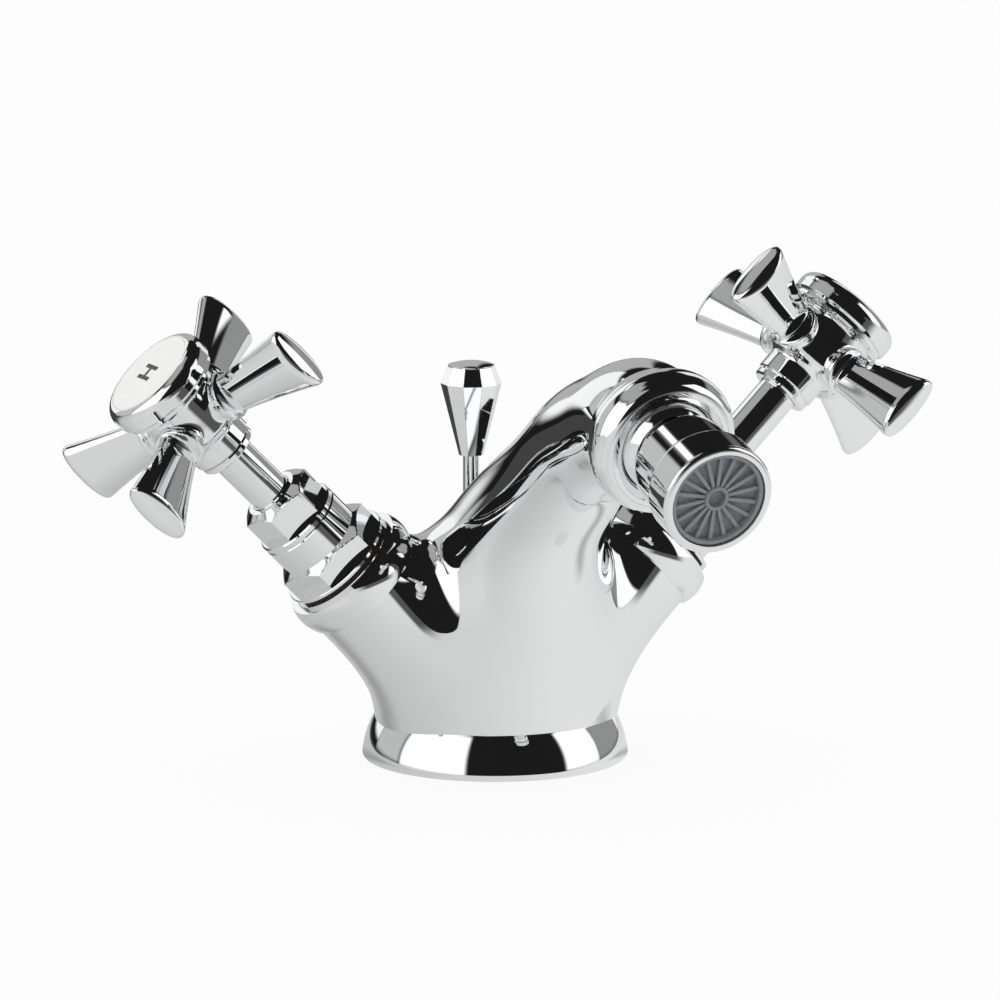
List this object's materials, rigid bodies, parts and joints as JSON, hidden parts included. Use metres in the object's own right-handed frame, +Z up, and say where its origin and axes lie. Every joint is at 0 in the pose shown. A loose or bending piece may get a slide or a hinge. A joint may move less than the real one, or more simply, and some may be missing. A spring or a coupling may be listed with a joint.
{
  "type": "bidet mixer tap",
  "caption": "Chrome monobloc bidet mixer tap with crosshead hot and cold valves, a swan-neck spout with a ball-jointed aerator nozzle, and a pull knob for the pop-up waste.",
  "frame": {"origin": "centre of the base's bottom face", "axes": "+Z up from the bidet's deck, the spout points to -Y, the hot valve is on -X, the cold on +X"},
  "size_m": [0.1789, 0.1309, 0.101],
  "materials": {
    "chrome": "polished chrome plate on brass",
    "brass": "turned brass",
    "steel": "stainless steel",
    "black_rubber": "moulded rubber",
    "white_plastic": "ptfe",
    "red_fibre": "fibre sheet",
    "grey_plastic": "moulded plastic",
    "white_enamel": "glossy enamel"
  },
  "bodies": {
    "tap": {"body_casting": "chrome", "base_gasket": "black_rubber", "rod_guide_bush": "chrome", "rod_seal": "black_rubber", "socket_seal": "black_rubber", "swivel_retainer": "chrome", "hot_bonnet_washer": "red_fibre", "hot_bonnet": "chrome", "hot_gland_packing": "white_plastic", "hot_gland_nut": "chrome", "cold_bonnet_washer": "red_fibre", "cold_bonnet": "chrome", "cold_gland_packing": "white_plastic", "cold_gland_nut": "chrome"},
    "ball_ring": {"ball_seat": "white_plastic"},
    "nozzle": {"swivel_ball": "chrome", "nozzle_sleeve": "chrome", "aerator_housing": "chrome", "aerator_washer": "black_rubber", "aerator_screen": "steel", "aerator_insert": "grey_plastic"},
    "pull_rod": {"pull_rod": "chrome", "pull_knob": "chrome"},
    "hot_jumper": {"hot_jumper": "brass", "hot_jumper_washer": "black_rubber", "hot_washer_nut": "brass"},
    "hot_handle": {"hot_spindle": "chrome", "hot_crosshead": "chrome", "hot_handle_screw": "steel", "hot_index_cap": "chrome", "hot_index_disc": "white_enamel"},
    "cold_jumper": {"cold_jumper": "brass", "cold_jumper_washer": "black_rubber", "cold_washer_nut": "brass"},
    "cold_handle": {"cold_spindle": "chrome", "cold_crosshead": "chrome", "cold_handle_screw": "steel", "cold_index_cap": "chrome", "cold_index_disc": "white_enamel"}
  },
  "joints": [
    {"name": "hot_lift", "type": "slide", "parent": "tap", "child": "hot_jumper", "axis": [-0.7071, 0, 0.7071], "range_m": [0, 0.006]},
    {"name": "hot_turn", "type": "hinge", "parent": "hot_jumper", "child": "hot_handle", "pos_m": [0, -0.002, 0.008], "axis": [-0.7071, 0, 0.7071], "range_deg": [0, 865]},
    {"name": "cold_lift", "type": "slide", "parent": "tap", "child": "cold_jumper", "axis": [0.7071, 0, 0.7071], "range_m": [-0.0053, 0.0007]},
    {"name": "cold_turn", "type": "hinge", "parent": "cold_jumper", "child": "cold_handle", "pos_m": [0, -0.002, 0.008], "axis": [0.7071, 0, 0.7071], "range_deg": [-764, 101]},
    {"name": "ball_spin", "type": "hinge", "parent": "tap", "child": "ball_ring", "pos_m": [0, -0.0765, 0.0755], "axis": [0, -0.9563, -0.2924], "continuous": true},
    {"name": "nozzle_tilt", "type": "hinge", "parent": "ball_ring", "child": "nozzle", "pos_m": [0, -0.0765, 0.0755], "axis": [1, 0, 0], "range_deg": [-15, 15]},
    {"name": "rod_pull", "type": "slide", "parent": "tap", "child": "pull_rod", "axis": [0, 0, 1], "range_m": [0, 0.02]}
  ],
  "couplings": [
    {"joint": "hot_turn", "follows": "hot_lift", "rad_per_m": 2513.3},
    {"joint": "cold_turn", "follows": "cold_lift", "rad_per_m": 2513.3}
  ]
}
